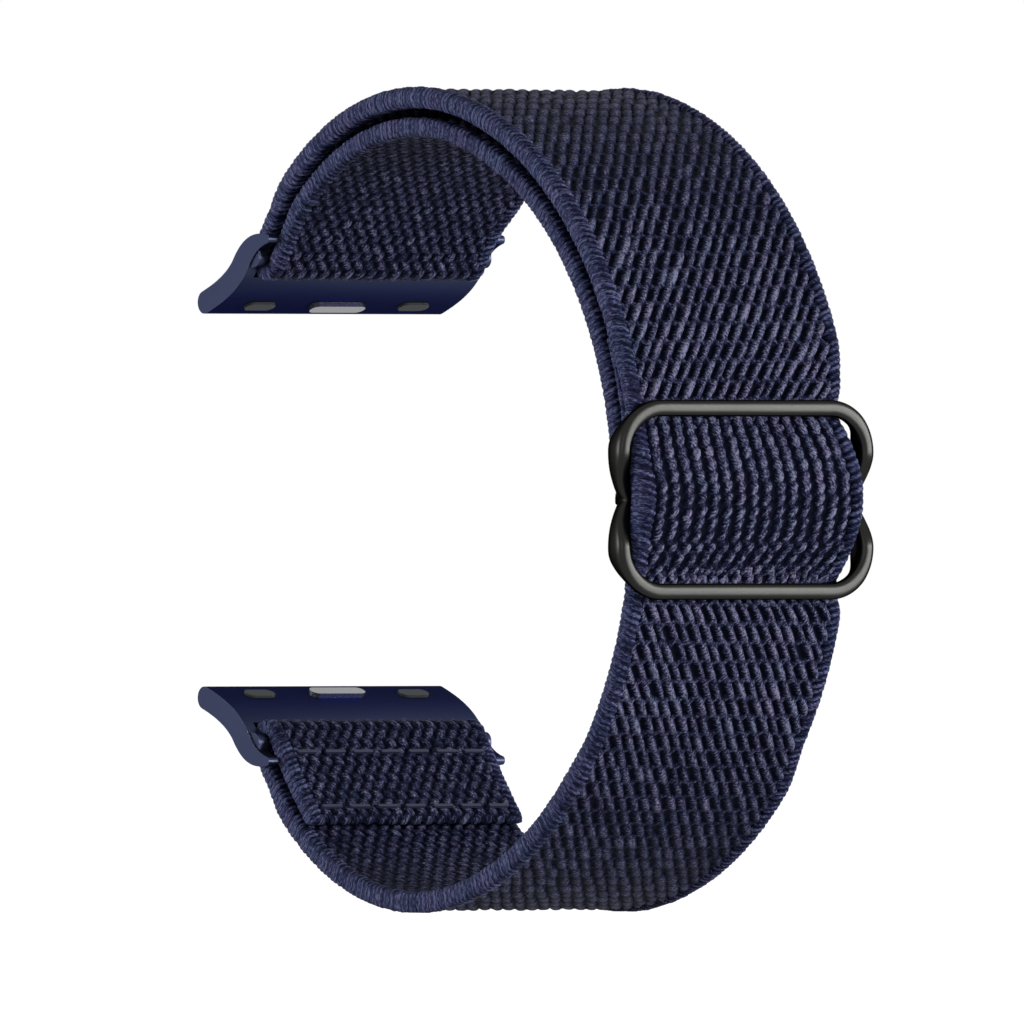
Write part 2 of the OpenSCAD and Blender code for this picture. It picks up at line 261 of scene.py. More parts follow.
def strandHeight(u, v, halfWide, halfLong, lean):
    # One strand: a long rounded lump that leans a little off the band's length
    across = np.abs(u - lean * v) / halfWide
    along = np.abs(v) / halfLong
    return np.sqrt(np.clip(1 - across ** weave["sideCurve"] - along ** weave["endCurve"], 0, 1))


def leanSign(s):
    # The strands lean one way below the buckle and the other way above it, and turn back with the fold
    return np.where(s > runLength, -1.0, np.tanh((s - runLength / 2) / weave["turnLength"]))


def strandsNear(x, s, face, sizes, rows, middle):
    # Every strand that may reach a place: the place as seen from its middle, and its own row and column
    column, row = np.floor(x / face["pitch"] + 0.5), np.floor(s / face["row"])
    for k in rows:
        for j in (-1, 0, 1):
            strays, slips = outOfPlace(row + k, column + j, sizes)
            yield (x - (column + j) * face["pitch"] + strays, s - (row + k + middle) * face["row"] + slips,
                   (row + k, column + j))


def knotHeight(x, s, face, lean, height):
    # Where one row's strands end, a lower crossing strand closes the gap to the next column
    best = np.zeros(np.broadcast(x, s).shape)
    for u, v, _ in strandsNear(x, s, face, knot, (0, 1), 0):
        best = np.maximum(best, height * strandHeight(u, v, knot["halfWide"], knot["halfLong"], -lean))
    return best


def ribHeight(x, s):
    # Outer face: long strands, each of which runs on into the next column's strand in the next row
    lean = rib["lean"] * leanSign(s)
    # Over the top and bottom of the loop the strands lie side by side as plain ribs
    plain = np.clip((np.abs(s - runLength / 2) - rib["plainFrom"]) / rib["plainOver"], 0, 1)
    best = knotHeight(x, s, rib, lean, rib["knot"] - rib["knotFades"] * plain)
    for u, v, at in strandsNear(x, s, rib, rib, (-1, 0, 1), 0.5):
        wide = (rib["halfWide"] + rib["plainWider"] * plain) * (1 + rib["wideVaries"] * uneven(*at, 1))
        lump = strandHeight(u, v, wide, rib["halfLong"], lean)
        best = np.maximum(best, lump * (1 + rib["highVaries"] * uneven(*at, 1)))
    return best


def brickHeight(x, s):
    # Wrist face: shorter strands laid like bricks, with every other row shifted by half a pitch
    pitch, first = brick["pitch"], np.floor(s / brick["row"])
    lean = brick["lean"] * leanSign(s)
    best = np.zeros(np.broadcast(x, s).shape)
    for k in (-1, 0, 1):
        row = first + k
        shift = 0.5 * (row % 2)
        middle = np.floor(x / pitch + shift + 0.5)
        turn = np.where(row % 2 > 0, brick["oddLean"], 1.0)
        for column in (middle - 1, middle, middle + 1):
            strays, slips = outOfPlace(row, column, brick)
            u = (x / pitch + shift - column) * pitch + strays
            v = s - (row + 0.5) * brick["row"] + slips
            lump = strandHeight(u, v, brick["halfWide"], brick["halfLong"], lean * turn)
            best = np.maximum(best, lump * (1 + brick["highVaries"] * uneven(row, column, 1)))
    return best


def windowHeight(x, s):
    # In the window the strands bunch up: upright ribs above, open knots in the middle, small lumps below
    low = np.clip((runLength / 2 - window["lowFrom"] - s) / window["lowOver"], 0, 1)
    up = np.clip((s - runLength / 2 + window["upFrom"]) / window["upOver"], 0, 1)
    wide = window["halfWide"] + window["upWider"] * up
    long = window["halfLong"] - window["lowShorter"] * low + window["upLonger"] * up
    lean = window["lean"] - window["upStraighter"] * up
    best = knotHeight(x, s, window, window["knotLean"], window["knot"])
    for u, v, at in strandsNear(x, s, window, window, (-1, 0, 1), 0.5):
        shift = 0.5 * low * window["pitch"] * (at[0] % 2)
        lump = strandHeight(u - shift, v, wide, long, lean)
        best = np.maximum(best, lump * (1 + window["highVaries"] * uneven(*at, 1)))
    return best


def smoothHeight(x, s):
    return np.ones(np.broadcast(x, s).shape)


def freedom(points, returning=False):
    # 0 where a lug or the buckle holds the band to its narrow width, 1 where it lies free
    free = np.ones(len(points))
    for side in (1, -1):
        away = np.hypot(points[:, 0] - barCentre[0], points[:, 1] - side * barCentre[1])
        free = np.minimum(free, np.clip((away - hold["barFrom"]) / hold["barOver"], 0, 1))
    if not returning:
        beyond = np.maximum(hold["low"] - points[:, 1], points[:, 1] - hold["high"])
        free = np.minimum(free, np.where(points[:, 0] < 0, np.clip(beyond / hold["travelOver"], 0, 1), 1))
    return eased(free)


def gathered(points):
    # The buckle's bars gather the run that they press, all from its right edge
    fromBar = (np.abs(points[:, 1]) - hold["gatherAt"]) / hold["gatherOver"]
    return np.where(points[:, 0] < 0, hold["gather"] * np.exp(-fromBar ** 2), 0)


def aside(points):
    # In the buckle the run lies a little to the left
    return -gathered(points) - np.where(points[:, 0] < 0, hold["aside"] * (1 - freedom(points)), 0)


def widths(points, returning=False):
    half = strap["heldWidth"] + (strap["halfWidth"] - strap["heldWidth"]) * freedom(points, returning)
    return half if returning else half - gathered(points)


def thicknesses(halfThick, lengths, roundEnds, proud=0.0):
    thick = (np.full(len(lengths), halfThick) if np.isscalar(halfThick) else halfThick) + proud
    for end, distance in enumerate((lengths, lengths[-1] - lengths)):
        if roundEnds[end]:
            reach = np.clip(distance / weave["endReach"], 0, 1)
            thick = thick * np.sqrt(1 - (1 - reach) ** 2 * weave["endThins"])
    return thick


def bandShell(store, route, halfThick, faces=(ribHeight, brickHeight), roundEnds=(False, False),
              depth=None, startLength=0.0, halfWidth=None, drift=0.0):
    # A stretch of woven band: its two faces carry the strands, its edges are left for the cords
    points, looks, lengths = route
    height = np.abs(points[:, 1:2])
    depth = depth or (weave["depth"] - weave["flatter"]["by"] * ramped(height, weave["flatter"]))
    halfWidth = np.full(len(lengths), strap["heldWidth"]) if halfWidth is None else halfWidth
    flat = strap["halfWidth"] - weave["edgeInset"]
    squeeze = ((halfWidth - weave["edgeInset"]) / flat)[:, None]
    count = int(round(2 * flat / rib["pitch"] * weave["acrossSteps"]))
    x = np.linspace(-flat, flat, count + 1)
    s = lengths[:, None] + startLength
    thick = thicknesses(halfThick, lengths, roundEnds)
    least = weave["coverLeast"]
    cover = np.clip((flat - np.abs(x)) / weave["coverOver"] + least, least, 1)[None, :]
    grid = np.zeros((len(lengths), 2 * len(x), 3))
    marks = np.zeros_like(grid)
    for side, (face, order) in enumerate(zip(faces, (slice(None), slice(None, None, -1)))):
        strands = face(x[None, :], s)
        onWrist = face is brickHeight
        sink = depth * (weave["wristDepth"] if onWrist else 1) * (1 - strands * cover)
        rise = (1 - 2 * side) * (thick[:, None] - sink)
        span = slice(side * len(x), (side + 1) * len(x))
        grid[:, span, 0] = x[order] * squeeze + np.reshape(drift, (-1, 1))
        grid[:, span, 1] = (points[:, None, 0] + looks[:, None, 0] * rise)[:, order]
        grid[:, span, 2] = (points[:, None, 1] + looks[:, None, 1] * rise)[:, order]
        # The weave attribute holds the place on the band and the strand's height: painted shade in the gaps,
        # painted highlight on the tops.
        # Painted shade also darkens the wrist faces, inside the loop, and the outer face over the loop's ends, lit
        # little from above
        shade = weave["wristPaintedShade"] if onWrist else 1 - weave["closed"]["by"] * ramped(height, weave["closed"])
        marks[:, span, 0] = x[order] * np.where(leanSign(s) < 0, -1, 1)
        marks[:, span, 1] = s
        marks[:, span, 2] = strands[:, order] * shade
    store.shell(grid, marks, 0, strips=True)


def edgeCords(store, route, halfThick, slot, startLength=0.0, halfWidth=None, roundEnds=(False, False),
              proud=0.0, drift=0.0):
    # The bound edges: a cord down each side, wrapped by crosswise threads in a herringbone
    points, looks, lengths = route
    halfWidth = np.full(len(lengths), strap["heldWidth"]) if halfWidth is None else halfWidth
    thick = thicknesses(halfThick, lengths, roundEnds, proud)
    edge = (halfWidth - selvage["inset"])[:, None]
    theta = -2 * math.pi * np.arange(selvage["around"]) / selvage["around"]
    curve = selvage["sectionCurve"]
    squared = (np.abs(np.cos(theta)) ** curve + np.abs(np.sin(theta)) ** curve) ** (-1 / curve)
    s = lengths[:, None] + startLength
    for hand in (-1, 1):
        fromSide = np.abs(np.angle(np.exp(1j * (theta - (0 if hand > 0 else math.pi)))))
        phase = s / selvage["stitchPitch"] + selvage["lean"] * fromSide[None, :]
        which = np.floor(phase)
        slip = selvage["slips"] * uneven(which, np.full_like(phase, 3 + hand), 2)
        swell = 1 + selvage["swells"] * uneven(which, np.full_like(phase, 6 + hand), 0)
        bow = np.abs(np.sin(math.pi * np.clip(phase - which + slip, 0, 1)))
        thread = np.clip(bow ** selvage["threadCurve"] * swell, 0, selvage["fullest"])
        border = (np.minimum(fromSide, math.pi) - selvage["sideReach"]) / selvage["sideOver"]
        border = np.clip(border, selvage["sideDepth"], 1)[None, :]
        reachX = (selvage["halfWidth"] - selvage["depth"] * border * (1 - thread)) * squared
        reachN = (thick[:, None] - selvage["depth"] * border * (1 - thread)) * squared
        up = np.sin(theta) * reachN
        grid = np.zeros((len(lengths), len(theta), 3))
        grid[:, :, 0] = hand * edge + np.cos(theta) * reachX + np.reshape(drift, (-1, 1))
        grid[:, :, 1] = points[:, None, 0] + looks[:, None, 0] * up
        grid[:, :, 2] = points[:, None, 1] + looks[:, None, 1] * up
        # The third mark is the threads' height, which the material turns into painted shade between stitches and
        # painted highlight on their tops
        places = (fromSide[None, :] * selvage["fibreTurn"] * hand, s, 1 - (1 - thread) * border)
        store.shell(grid, np.stack(np.broadcast_arrays(*places), -1), slot)


# Materials

def linear(hexColour):
    # sRGB hex to Blender's linear colour
    parts = [int(hexColour[i:i + 2], 16) / 255 for i in (1, 3, 5)]
    return tuple(c / 12.92 if c <= 0.04045 else ((c + 0.055) / 1.055) ** 2.4 for c in parts) + (1.0,)


def addNode(tree, kind, settings=None, links=None):
    # Adds one shader node, sets its properties and sockets, and joins its inputs to other nodes' outputs
    node = tree.nodes.new("ShaderNode" + kind)
    for key, value in (settings or {}).items():
        if isinstance(key, str) and hasattr(node, key):
            setattr(node, key, value)
        else:
            node.inputs[key].default_value = value
    for key, (other, output) in (links or {}).items():
        tree.links.new(other.outputs[output], node.inputs[key])
    return node


def newMaterial(name):
    material = bpy.data.materials.new(name)
    material.use_nodes = True
    material.node_tree.nodes.clear()
    return material, material.node_tree


def setRamp(node, stops):
    ramp = node.color_ramp
    while len(ramp.elements) > 1:
        ramp.elements.remove(ramp.elements[-1])
    for k, (place, colour) in enumerate(stops):
        stop = ramp.elements[0] if k == 0 else ramp.elements.new(place)
        stop.position = place
        stop.color = linear(colour)
    return node


def finishMaterial(tree, settings, links):
    shader = addNode(tree, "BsdfPrincipled", settings, links)
    addNode(tree, "OutputMaterial", None, {"Surface": (shader, "BSDF")})


def nylonMaterial(name, stops, fibreScale, slant, fibreShare, bumpSize, roughness):
    # Dyed nylon yarn: matt, with fine fibre lines along each strand, and painted shade that is darkest in the
    # gaps.
    # stops colour it from the floor of the weave to the tops, painted shade below and painted highlight above;
    # fibreScale is one fibre mark's size in mm, coarser than a fibre so as to show
    material, tree = newMaterial(name)
    marks = addNode(tree, "Attribute", {"attribute_name": "weave"})
    parts = addNode(tree, "SeparateXYZ", None, {"Vector": (marks, "Vector")})
    flat = addNode(tree, "CombineXYZ", None, {"X": (parts, "X"), "Y": (parts, "Y")})
    spun = addNode(tree, "Mapping",
                   {"vector_type": "TEXTURE", "Rotation": (0, 0, math.radians(slant)), "Scale": fibreScale},
                   {"Vector": (flat, "Vector")})
    fibres = addNode(tree, "TexNoise", {"Scale": 1.0, "Detail": 1.5, "Roughness": 0.6},
                     {"Vector": (spun, "Vector")})
    patches = addNode(tree, "TexNoise", {"Scale": 0.35, "Detail": 2.0}, {"Vector": (flat, "Vector")})
    spread = addNode(tree, "MapRange", {"From Min": 0.32, "From Max": 0.68}, {"Value": (fibres, "Fac")})
    lifted = addNode(tree, "Math", {"operation": "MULTIPLY_ADD", 1: fibreShare, 2: -0.5 * fibreShare},
                     {0: (spread, "Result")})
    scaled = addNode(tree, "Math", {"operation": "MULTIPLY", 1: 0.86}, {0: (parts, "Z")})
    shade = addNode(tree, "Math", {"operation": "ADD"}, {0: (scaled, 0), 1: (lifted, 0)})
    # The ramp turns strand height into painted shade in the gaps and painted highlight on the tops
    tint = setRamp(addNode(tree, "ValToRGB", None, {"Fac": (shade, 0)}), stops)
    # The dye takes a little unevenly, from teal grey to violet grey, and is laid over the painted shade and
    # highlight
    cool = addNode(tree, "MapRange", {"From Min": 0.35, "From Max": 0.65}, {"Value": (patches, "Fac")})
    dye = setRamp(addNode(tree, "ValToRGB", None, {"Fac": (cool, "Result")}),
                  [(0.0, "#e0ebf1"), (1.0, "#f6edf7")])
    dyed = addNode(tree, "Mix", {"data_type": "RGBA", "blend_type": "MULTIPLY", 0: 1.0},
                   {6: (tint, "Color"), 7: (dye, "Color")})
    bump = addNode(tree, "Bump", {"Strength": 0.8, "Distance": bumpSize * mm}, {"Height": (fibres, "Fac")})
    shine = addNode(tree, "MapRange", {"To Min": roughness - 0.1, "To Max": roughness + 0.1},
                    {"Value": (fibres, "Fac")})
    finishMaterial(tree, {"IOR": 1.53, "Specular IOR Level": 0.04, "Sheen Weight": 0.03, "Sheen Roughness": 0.4,
                          "Sheen Tint": linear("#8f93b8")},
                   {"Base Color": (dyed, 2), "Roughness": (shine, "Result"), "Normal": (bump, "Normal")})
    return material


# Air-textured nylon strands: painted highlight on their tops and painted shade, nearly black, in the holes
webbingMaterial = nylonMaterial(
    "wovenNylonWebbing",
    [(0.0, "#050817"), (0.3, "#0c1026"), (0.55, "#262942"), (0.8, "#5a5b76"), (1.0, "#9091ab")],
    (0.17, 0.30, 1), 50, 0.62, 0.26, 0.6)
# The bound edge: the same yarn laid crosswise in a herringbone, with painted highlight on the threads' tops and
# painted shade between the stitches
edgeMaterial = nylonMaterial(
    "boundNylonEdge",
    [(0.0, "#070917"), (0.35, "#12162b"), (0.65, "#2c3050"), (0.9, "#545879"), (1.0, "#73779a")],
    (0.42, 0.14, 1), 14, 0.6, 0.16, 0.58)


def grainedMaterial(name, colour, mottle, mottleShare, edgeTint, roughness, grain, grainDepth, metallic=1.0):
    # A faintly mottled base tone, with a fine blasted, drawn or spun grain in the roughness and bump. grain counts
    # to the metre, at about 0.1 mm each, coarser than the real grit so as to show; grainDepth is in mm
    material, tree = newMaterial(name)
    place = addNode(tree, "TexCoord")
    fine = addNode(tree, "TexNoise", {"Scale": grain, "Detail": 3.0, "Roughness": 0.6},
                   {"Vector": (place, "Object")})
    broad = addNode(tree, "TexNoise", {"Scale": 180.0, "Detail": 2.0}, {"Vector": (place, "Object")})
    share = addNode(tree, "Math", {"operation": "MULTIPLY", 1: mottleShare}, {0: (broad, "Fac")})
    tint = addNode(tree, "Mix", {"data_type": "RGBA", 6: linear(colour), 7: linear(mottle)}, {0: (share, 0)})
    rough = addNode(tree, "MapRange", {"To Min": roughness - 0.06, "To Max": roughness + 0.06},
                    {"Value": (fine, "Fac")})
    bump = addNode(tree, "Bump", {"Strength": 0.25, "Distance": grainDepth * mm}, {"Height": (fine, "Fac")})
    finishMaterial(tree, {"Metallic": metallic, "Specular Tint": linear(edgeTint)},
                   {"Base Color": (tint, 2), "Roughness": (rough, "Result"), "Normal": (bump, "Normal")})
    return material


# Steel with a black nickel plate over a tumbled surface: soft grey light along each bar, dark at its edges
gunmetalMaterial = grainedMaterial(
    "blackNickelPlatedSteel", "#2a2a29", "#242423", 0.5, "#606060", 0.32, 9000.0, 0.003)
# Aluminium, bead blasted and dyed in the anodising bath: satin navy with a fine even grain
anodisedMaterial = grainedMaterial(
    "blastedAnodisedAluminium", "#3c4055", "#363a4e", 0.6, "#6a6f8c", 0.40, 14000.0, 0.003)
# The lugs' bevelled edges, smoother than the blasted faces and coloured lighter: a painted highlight as a thin
# light line round each face
edgeHighlightMaterial = grainedMaterial(
    "anodisedEdgePaintedHighlight", "#7c829f", "#70758f", 0.5, "#a5a9c0", 0.24, 9000.0, 0.001)
# Sewing thread: twisted polyester dyed to match the band, so the seams hardly show
threadMaterial = grainedMaterial(
    "twistedPolyesterThread", "#2f3350", "#1b1e34", 1.0, "#ffffff", 0.62, 9000.0, 0.03, metallic=0.0)
# Stainless steel rod and strip, drawn and tumbled: bright, with a soft broad gleam
steelMaterial = grainedMaterial(
    "drawnStainlessSteel", "#a9abad", "#94969a", 0.5, "#c8c8c8", 0.28, 12000.0, 0.002)
# Moulded nitrile pads: matt black with a light spark-eroded texture
rubberMaterial = grainedMaterial(
    "mouldedNitrileRubber", "#1d1f24", "#24262c", 0.5, "#ffffff", 0.75, 7000.0, 0.02, metallic=0.0)
print("materials made")


# Outer run: from the lower bar, round the buckle side, to the upper bar and half round it

def far(a0, a1, radius):
    return (tuple(farCentre), radius, a0, a1)


barAngle, handover = strap["barAngle"], strap["handover"]
barPlace = tuple(barCentre)
upperTurn = (barPlace, strap["barTurn"], barAngle, barAngle - 90)
upperEnd = [far(180 - handover, barAngle, middleOuterFar), upperTurn]
outerArcs = (turnedRound(mirrored(upperEnd))
             + [((0, 0), middleOuterNear, 180 + handover, 180 - handover)]
             + upperEnd)
runLength = sum(abs(math.radians(a1 - a0)) * r for _, r, a0, a1 in outerArcs)
store = MeshStore()
route = routeOf(outerArcs, weave["alongStep"])
bandShell(store, route, strap["halfThick"], halfWidth=widths(route[0]), drift=aside(route[0]))
outerWebbing = store.made("outer_webbing", [webbingMaterial])
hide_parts("outer_run")
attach(outerWebbing, "webbing")
store = MeshStore()
route = routeOf(outerArcs, selvage["alongStep"])
proud = selvage["proudHeld"] + (selvage["proud"] - selvage["proudHeld"]) * freedom(route[0])
edgeCords(store, route, strap["halfThick"], 0, halfWidth=widths(route[0]), proud=proud, drift=aside(route[0]))
outerEdges = store.made("outer_webbing_edges", [edgeMaterial])
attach(outerEdges, "webbing")
print("outer run:", len(outerWebbing.data.polygons), "faces,", len(outerEdges.data.polygons), "in its edges")

# Return layer: from the upper bar back down towards the buckle, as it lies at rest; it draws out as the buckle
# travels
returning = {"end": 3.25, "drawnFrom": 115, "drawnTo": 176}
returnArcs = [
    (barPlace, strap["barTurn"], barAngle - 90, barAngle - 180),
    far(barAngle, 180 - handover, middleReturnFar),
    ((0, 0), middleReturnNear, 180 - handover, 180 - returning["end"]),
]
store = MeshStore()
route = routeOf(returnArcs, weave["alongStep"])
bandShell(store, route, strap["halfThick"], (brickHeight, ribHeight), startLength=runLength,
          halfWidth=widths(route[0], True))
returnWebbing = store.made("return_webbing", [webbingMaterial])
store = MeshStore()
route = routeOf(returnArcs, selvage["alongStep"])
edgeCords(store, route, strap["halfThick"], 0, runLength, widths(route[0], True),
          proud=selvage["proudReturn"] * freedom(route[0], True))
returnEdges = store.made("return_webbing_edges", [edgeMaterial])
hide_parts("return_layer")
for piece in (returnWebbing, returnEdges):
    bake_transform(piece)
print("return layer:", len(returnWebbing.data.polygons), "faces")

# Lower fold: the band's other end, round the lower bar and sewn down as a flap
innerRadius = strap["farRadius"] - 2 * strap["halfThick"] - strap["layerGap"]
flapRadius = 1 / (1 / innerRadius - 2 * (strap["layerGap"] - strap["slideGap"]) / strap["flapLength"] ** 2)
flapCentre = barCentre - (strap["barSeat"] + flapRadius) * barDir
flapSweep = math.degrees(strap["flapLength"] / flapRadius)
foldArcs = mirrored([
    (barPlace, strap["barTurn"], barAngle - 90, barAngle - 180),
    (tuple(flapCentre), flapRadius - strap["halfThick"], barAngle, barAngle + flapSweep),
])
store = MeshStore()
bandShell(store, routeOf(foldArcs, weave["alongStep"]), strap["halfThick"], (brickHeight, brickHeight),
          roundEnds=(False, True))
edgeCords(store, routeOf(foldArcs, selvage["alongStep"]), strap["halfThick"], 1, roundEnds=(False, True))
foldWebbing = store.made("lower_fold_webbing", [webbingMaterial, edgeMaterial])
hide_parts("lower_fold")
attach(foldWebbing, "webbing")
print("lower fold:", len(foldWebbing.data.polygons), "faces")

# Buckle turn: the thinned end round the middle bar, and the sewn tail between the layers
tail = {
    "halfThick": 0.375, "depth": 0.2, "barY": -34.85, "turn": 0.875,
    "legAngle": 3.0, "legRadius": 33.975, "tailAngle": 24.25, "tailRadius": 35.725,
}
tailArcs = [
    ((0, 0), tail["legRadius"], 180 - tail["legAngle"], 180),
    ((tail["barY"], 0), tail["turn"], 360, 180),
    ((0, 0), tail["tailRadius"], 180, 180 - tail["tailAngle"]),
]
store = MeshStore()
bandShell(store, routeOf(tailArcs, weave["alongStep"]), tail["halfThick"], (brickHeight, brickHeight),
          depth=tail["depth"])
edgeCords(store, routeOf(tailArcs, selvage["alongStep"]), tail["halfThick"], 1)
tailWebbing = store.made("buckle_turn_webbing", [webbingMaterial, edgeMaterial])
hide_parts("buckle_turn")
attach(tailWebbing, "slide_buckle")

# Window bulge: the band humps out over the middle bar inside the buckle's window
bulge = {
    "reach": 8.45, "hump": 7.5, "crown": 1.45, "crownCurve": 0.9, "upward": 0.3, "foot": 0.04, "thick": 1.5,
    "depth": 0.45, "left": -12.3, "lobe": 0.3, "narrow": 10.7, "wide": 12.2,
}


def bulgeRoute(step):
    # The route over the hump, with half the thickness, half the width and the drift at each place
    arcHalf = math.degrees(bulge["reach"] / strap["nearRadius"])
    points, looks, lengths = routeOf([((0, 0), strap["nearRadius"], 180 + arcHalf, 180 - arcHalf)], step)
    lengths = lengths - lengths[-1] / 2
    along = np.clip((lengths - bulge["upward"]) / bulge["hump"], -1, 1)
    arch = np.cos(along * math.pi / 2)
    hump = bulge["foot"] + (bulge["crown"] - bulge["foot"]) * arch ** bulge["crownCurve"]
    # It fills the frame's lobes on the left and draws in at the right of each bar
    right = bulge["narrow"] + (bulge["wide"] - bulge["narrow"]) * arch
    left = bulge["left"] - bulge["lobe"] * np.sin(along * math.pi) ** 2
    # The piece sinks into the run under it, as pressed layers do
    half = (hump + bulge["thick"]) / 2
    points = points + looks * (hump - half)[:, None]
    lengths = lengths * middleOuterNear / strap["nearRadius"] + runLength / 2
    return (points, looks, lengths), half, (right - left) / 2, (right + left) / 2


store = MeshStore()
route, half, halfWidth, drift = bulgeRoute(weave["alongStep"])
bandShell(store, route, half, (windowHeight, smoothHeight), depth=bulge["depth"],
          halfWidth=halfWidth, drift=drift)
route, half, halfWidth, drift = bulgeRoute(selvage["alongStep"])
edgeCords(store, route, half, 1, halfWidth=halfWidth, drift=drift)
bulgeWebbing = store.made("window_webbing", [webbingMaterial, edgeMaterial])
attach(bulgeWebbing, "slide_buckle")
print("buckle turn and window webbing done")


# Lugs: the curved plate section of the CAD, stepped finely and with its edges broken.
# Curves are control points round the bar; the lock's sizes lie along the tongue and out of its wrist face

lug = {
    "half": 13.2, "cheekIn": 12.1, "steps": 28, "capSteps": 12,
    "edge": 0.16, "edgeSegments": 3, "edgeAngle": 38,
    "tongueHalf": 1.05, "neckHalf": 1.2, "hornHalf": 0.4,
    "tongueCurve": [(7.8, -4.1), (5.8, -3.4), (3.3, -2.4), (2.0, -0.75)],
    "hornCurve": [(2.0, -0.75), (1.13, 0.35), (0.1, 1.6), (-2.4, 1.7)],
    "barHole": 0.51, "barBlind": 0.54, "pocketRadius": 2.3, "openHalf": 4.6, "wallTop": 0.25, "openTop": 4.85,
    "swellRadius": 0.9, "swellUp": 0.75, "swellDown": 0.9,
    "swellFrom": 11.6, "swellTo": 13.0, "swellSteps": 24,
    "lockAt": 0.3, "faceOut": 2.1, "cavityHalf": 1.15, "cavityLong": 3.8, "cavityTop": 0.55,
    "catchSlot": (6.2, 1.6), "padSlot": (3.22, 1.42), "padAt": 8.6, "slotSteps": 16,
}


def curvePoint(curve, u):
    p = np.array(curve)
    weights = np.array([(1 - u) ** 3, 3 * u * (1 - u) ** 2, 3 * u * u * (1 - u), u ** 3])
    slope = 3 * ((1 - u) ** 2 * (p[1] - p[0]) + 2 * u * (1 - u) * (p[2] - p[1]) + u * u * (p[3] - p[2]))
    return weights @ p, slope / np.linalg.norm(slope)


def lugSection():
    # The plate's outline round the bar's centre, from the tongue's tip along one side and back along the other
    parts = (("tongueCurve", 0, "tongueHalf", "neckHalf"), ("hornCurve", 1, "neckHalf", "hornHalf"))
    sides = {1: [], -1: []}
    for side in (1, -1):
        for curve, first, start, end in parts:
            for i in range(first, lug["steps"] + 1):
                u = i / lug["steps"]
                at, along = curvePoint(lug[curve], u)
                half = lug[start] + (lug[end] - lug[start]) * u * u
                sides[side].append(at + side * half * np.array([-along[1], along[0]]))

    def cap(curve, u, half, turn):
        at, along = curvePoint(curve, u)
        base = math.degrees(math.atan2(along[1], along[0])) + turn
        return [polar(at, half, base - 180 * i / lug["capSteps"]) for i in range(1, lug["capSteps"])]

    return (sides[1] + cap(lug["hornCurve"], 1, lug["hornHalf"], 90) + sides[-1][::-1]
            + cap(lug["tongueCurve"], 0, lug["tongueHalf"], -90))


def loft(name, rows, closed=False):
    # A shell through rows of points in millimetres, with an end cap at each end or joined into a loop
    shape = bmesh.new()
    rows = [[shape.verts.new(tuple(c * mm for c in p)) for p in row] for row in rows]
    if not closed:
        shape.faces.new(rows[0][::-1])
        shape.faces.new(rows[-1])
    for here, after in zip(rows, rows[1:] + rows[:1] if closed else rows[1:]):
        for k in range(len(here)):
            n = (k + 1) % len(here)
            shape.faces.new((here[k], here[n], after[n], after[k]))
    bmesh.ops.recalc_face_normals(shape, faces=shape.faces)
    mesh = bpy.data.meshes.new(name)
    shape.to_mesh(mesh)
    shape.free()
    return linked(name, mesh)


def prism(name, outline, x0, x1):
    # A closed prism along X from an outline in the side view
    return loft(name, [[(x, p[0], p[1]) for p in outline] for x in (x0, x1)])


def combine(body, operation, others):
    for other in others:
        step = body.modifiers.new(operation.lower(), "BOOLEAN")
        step.operation, step.solver, step.object = operation, "EXACT", other


def settled(body, others=()):
    # Applies every modifier and clears away the bodies that they used
    bpy.context.view_layer.update()
    made = bpy.data.meshes.new_from_object(body.evaluated_get(bpy.context.evaluated_depsgraph_get()))
    body.modifiers.clear()
    old, body.data = body.data, made
    bpy.data.meshes.remove(old)
    for other in others:
        bpy.data.objects.remove(other)


def smoothed(body):
    for face in body.data.polygons:
        face.use_smooth = True


def discRound(radius, count=96):
    return [polar(barCentre, radius, 360 * i / count) for i in range(count)]


lockAt, lockDir = curvePoint(lug["tongueCurve"], lug["lockAt"])
lockCentre = barCentre + lockAt
lockOut = np.array([-lockDir[1], lockDir[0]])


def lockBlock(name, along, out0, out1, half):
    # A box in the lock's own directions: along the tongue, out of its wrist face, and across
    corners = ((-along, out0), (along, out0), (along, out1), (-along, out1))
    return prism(name, [lockCentre + a * lockDir + o * lockOut for a, o in corners], -half, half)


def lockOval(name, middle, size, out0, out1):
    # A round-ended slot across the lug
    length, width = size
    rim = []
    for side in (1, -1):
        for i in range(lug["slotSteps"] + 1):
            a = math.radians(-90 * side + 180 * i / lug["slotSteps"])
            x = middle + side * (length - width) / 2 + width / 2 * math.cos(a)
            rim.append((width / 2 * math.sin(a), x))
    return loft(name, [[(x, *(lockCentre + along * lockDir + out * lockOut)) for along, x in rim]
                       for out in (out0, out1)])


def mirroredBelow(body):
    for v in body.data.vertices:
        v.co.z = -v.co.z
    body.data.flip_normals()


def touchPoint(place, radius, hand):
    # Where a line from a point outside a circle round the bar touches it
    away = math.degrees(math.atan2(place[1], place[0]))
    return polar((0, 0), radius, away + hand * math.degrees(math.acos(radius / np.linalg.norm(place))))


def swellOutline():
    # Each cheek swells round the bar: a disc drawn out to the horn on one side and to the tongue on the other
    radius, steps = lug["swellRadius"], lug["swellSteps"]
    onHorn = curvePoint(lug["hornCurve"], lug["swellUp"])[0]
    onTongue = curvePoint(lug["tongueCurve"], lug["swellDown"])[0]
    start, end = touchPoint(onHorn, radius, 1), touchPoint(onTongue, radius, -1)
    a0, a1 = (math.degrees(math.atan2(q[1], q[0])) for q in (start, end))
    a1 += 360 if a1 < a0 else 0
    rim = [polar((0, 0), radius, a0 + (a1 - a0) * i / steps) for i in range(steps + 1)]
    return [barCentre + q for q in [onTongue, onHorn] + rim]


